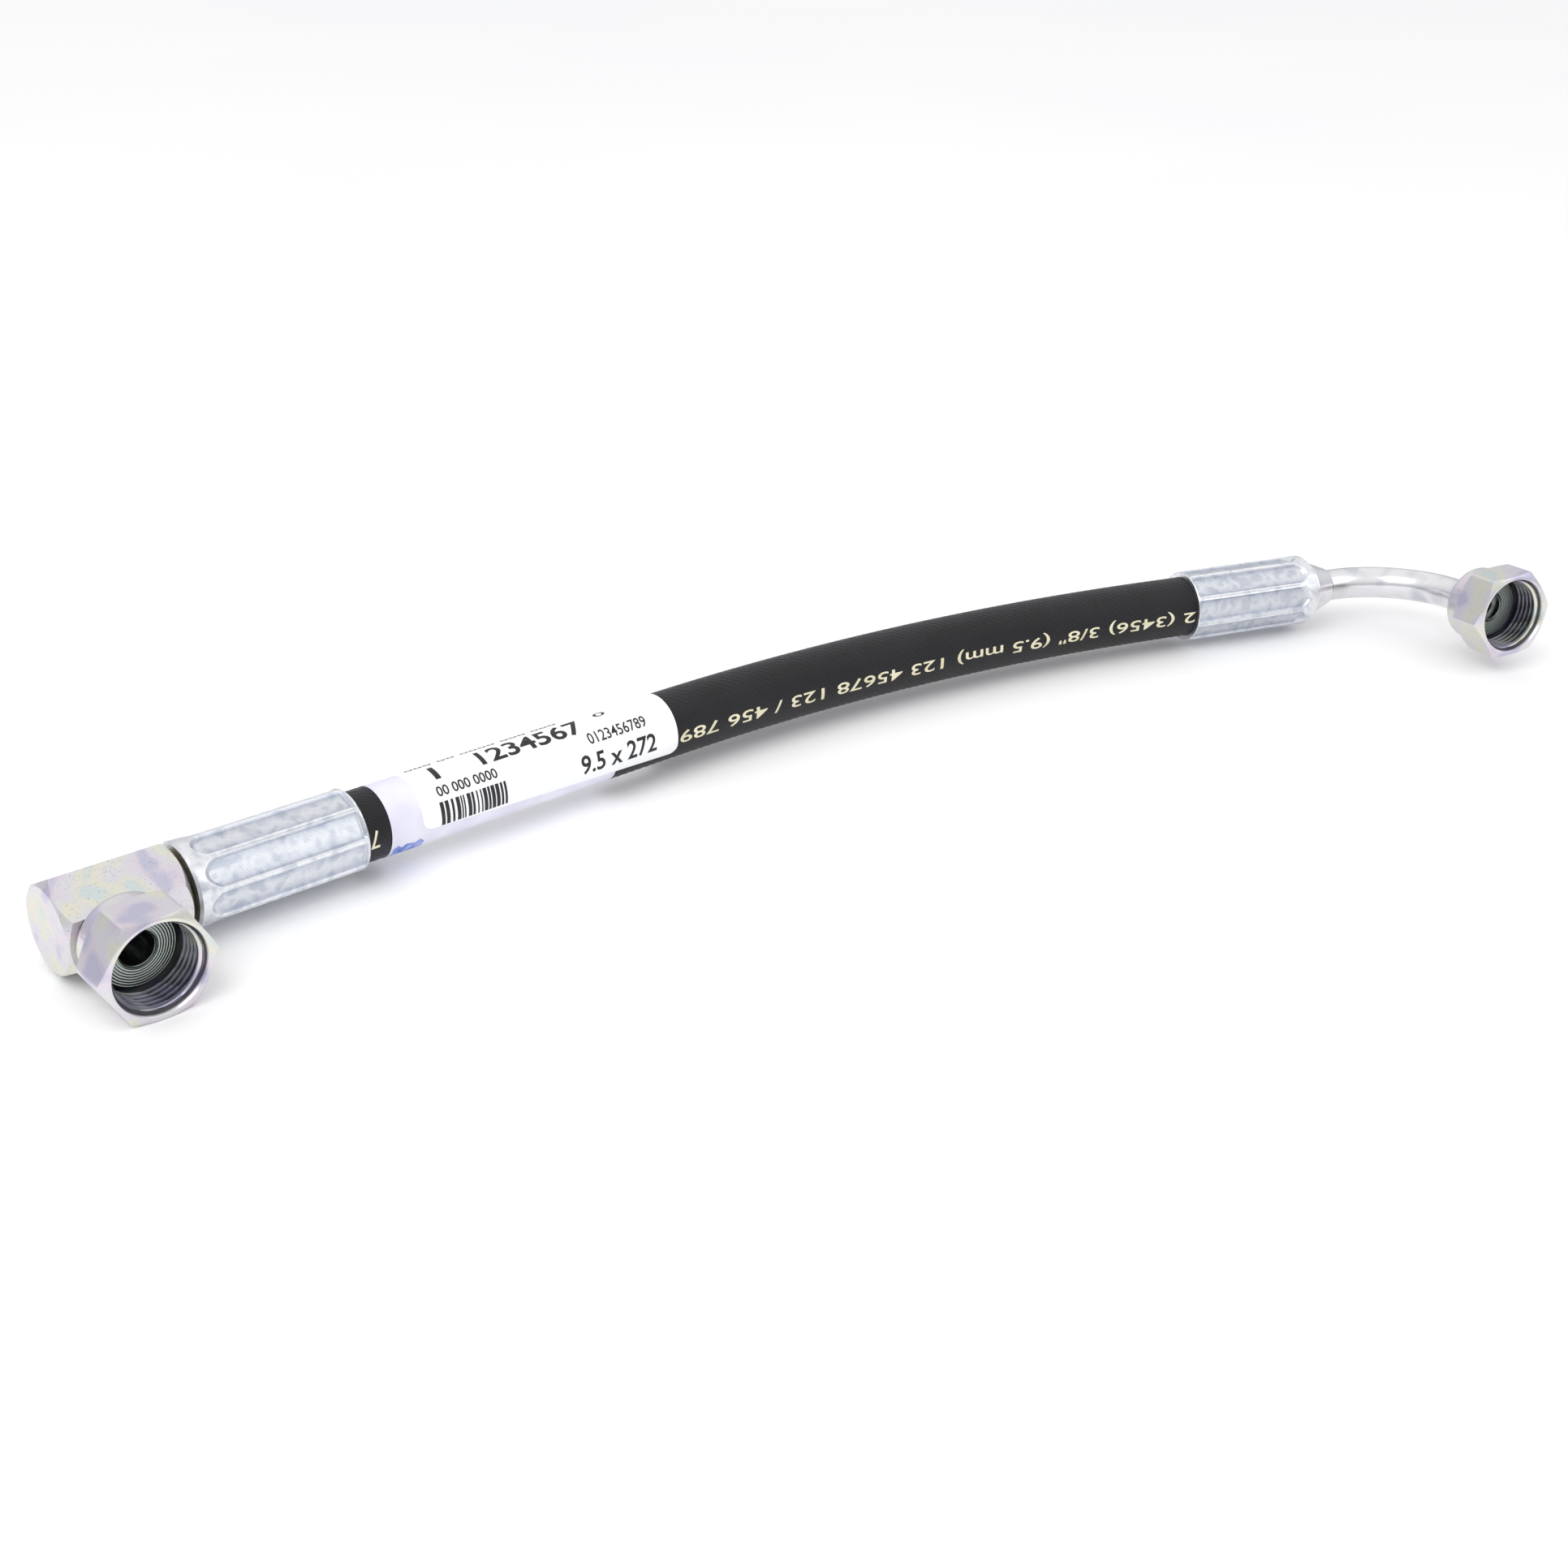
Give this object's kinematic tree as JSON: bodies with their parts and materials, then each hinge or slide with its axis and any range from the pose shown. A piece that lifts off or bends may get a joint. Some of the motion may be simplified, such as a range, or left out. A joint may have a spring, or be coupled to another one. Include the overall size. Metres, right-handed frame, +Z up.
{
  "type": "hydraulic hose assembly",
  "caption": "Flexible hydraulic hose with a block elbow at one end and a bent-tube elbow at the other, each with a face-seal swivel nut",
  "frame": {"origin": "centre of port A where its thread begins, 0.1 mm in front of the sealing face", "axes": "+X along the elbow bar and the hose towards end B, port A opens to -Y, +Z up; the hose bows in the XY plane, and end B's elbow is turned 6.7 degrees up out of it"},
  "size_m": [0.4219, 0.1175, 0.0303],
  "materials": {
    "zinc_block": "drawn hexagon bar, zinc plated with a faint lavender and yellow passivation tint",
    "zinc_nut": "machined steel nut, zinc plated with a faint violet and blue passivation tint",
    "turned_steel": "turned steel sealing face, thinly plated, with concentric tool marks",
    "dark_steel": "steel stem collar, thinly plated and oiled, dark olive in the shaded gap",
    "zinc_stem": "turned steel shoulder, zinc plated",
    "zinc_ferrule": "crimped steel shell, matt zinc plating with die marks",
    "zinc_tube": "bent steel tube, bright zinc plated",
    "braze": "copper-zinc braze fillet under thin plating",
    "tube_rubber": "smooth nitrile rubber",
    "braid_wire": "brass-coated high-tensile steel wire",
    "cover_rubber": "wrap-cured synthetic rubber with a fine cloth impression and a cream printed line",
    "film": "translucent white polyester film with a faint lavender tone",
    "paper": "white coated paper with black thermal print"
  },
  "bodies": {
    "end_a": {"elbow_block": "zinc_block", "nose_a": "turned_steel", "stem_a": "dark_steel", "ferrule_a": "zinc_ferrule", "braze_nose_a": "braze", "braze_stem_a": "braze", "hose_inner_tube": "tube_rubber", "hose_wire_braid": "braid_wire", "hose_cover": "cover_rubber", "film_tag": "film", "paper_label": "paper"},
    "nut_a": {"swivel_nut_a": "zinc_nut"},
    "end_b": {"ferrule_b": "zinc_ferrule", "stem_b": "zinc_stem", "bent_tube": "zinc_tube", "nose_b": "turned_steel", "braze_stem_b": "braze", "braze_nose_b": "braze"},
    "nut_b": {"swivel_nut_b": "zinc_nut"}
  },
  "joints": [
    {"name": "nut_a_spin", "type": "hinge", "parent": "end_a", "child": "nut_a", "pos_m": [0, 0, 0], "axis": [0, -1, 0], "continuous": true},
    {"name": "hose_flex", "type": "hinge", "parent": "end_a", "child": "end_b", "pos_m": [0.23941, 0.0185, 0], "axis": [0, 0, 1], "range_deg": [-30, 30], "stiffness_Nm_per_rad": 6, "deforming": ["hose_cover", "hose_wire_braid", "hose_inner_tube"]},
    {"name": "nut_b_spin", "type": "hinge", "parent": "end_b", "child": "nut_b", "pos_m": [0.39517, -0.07492, 0.00478], "axis": [-0.3069, -0.9446, 0.1167], "continuous": true}
  ]
}
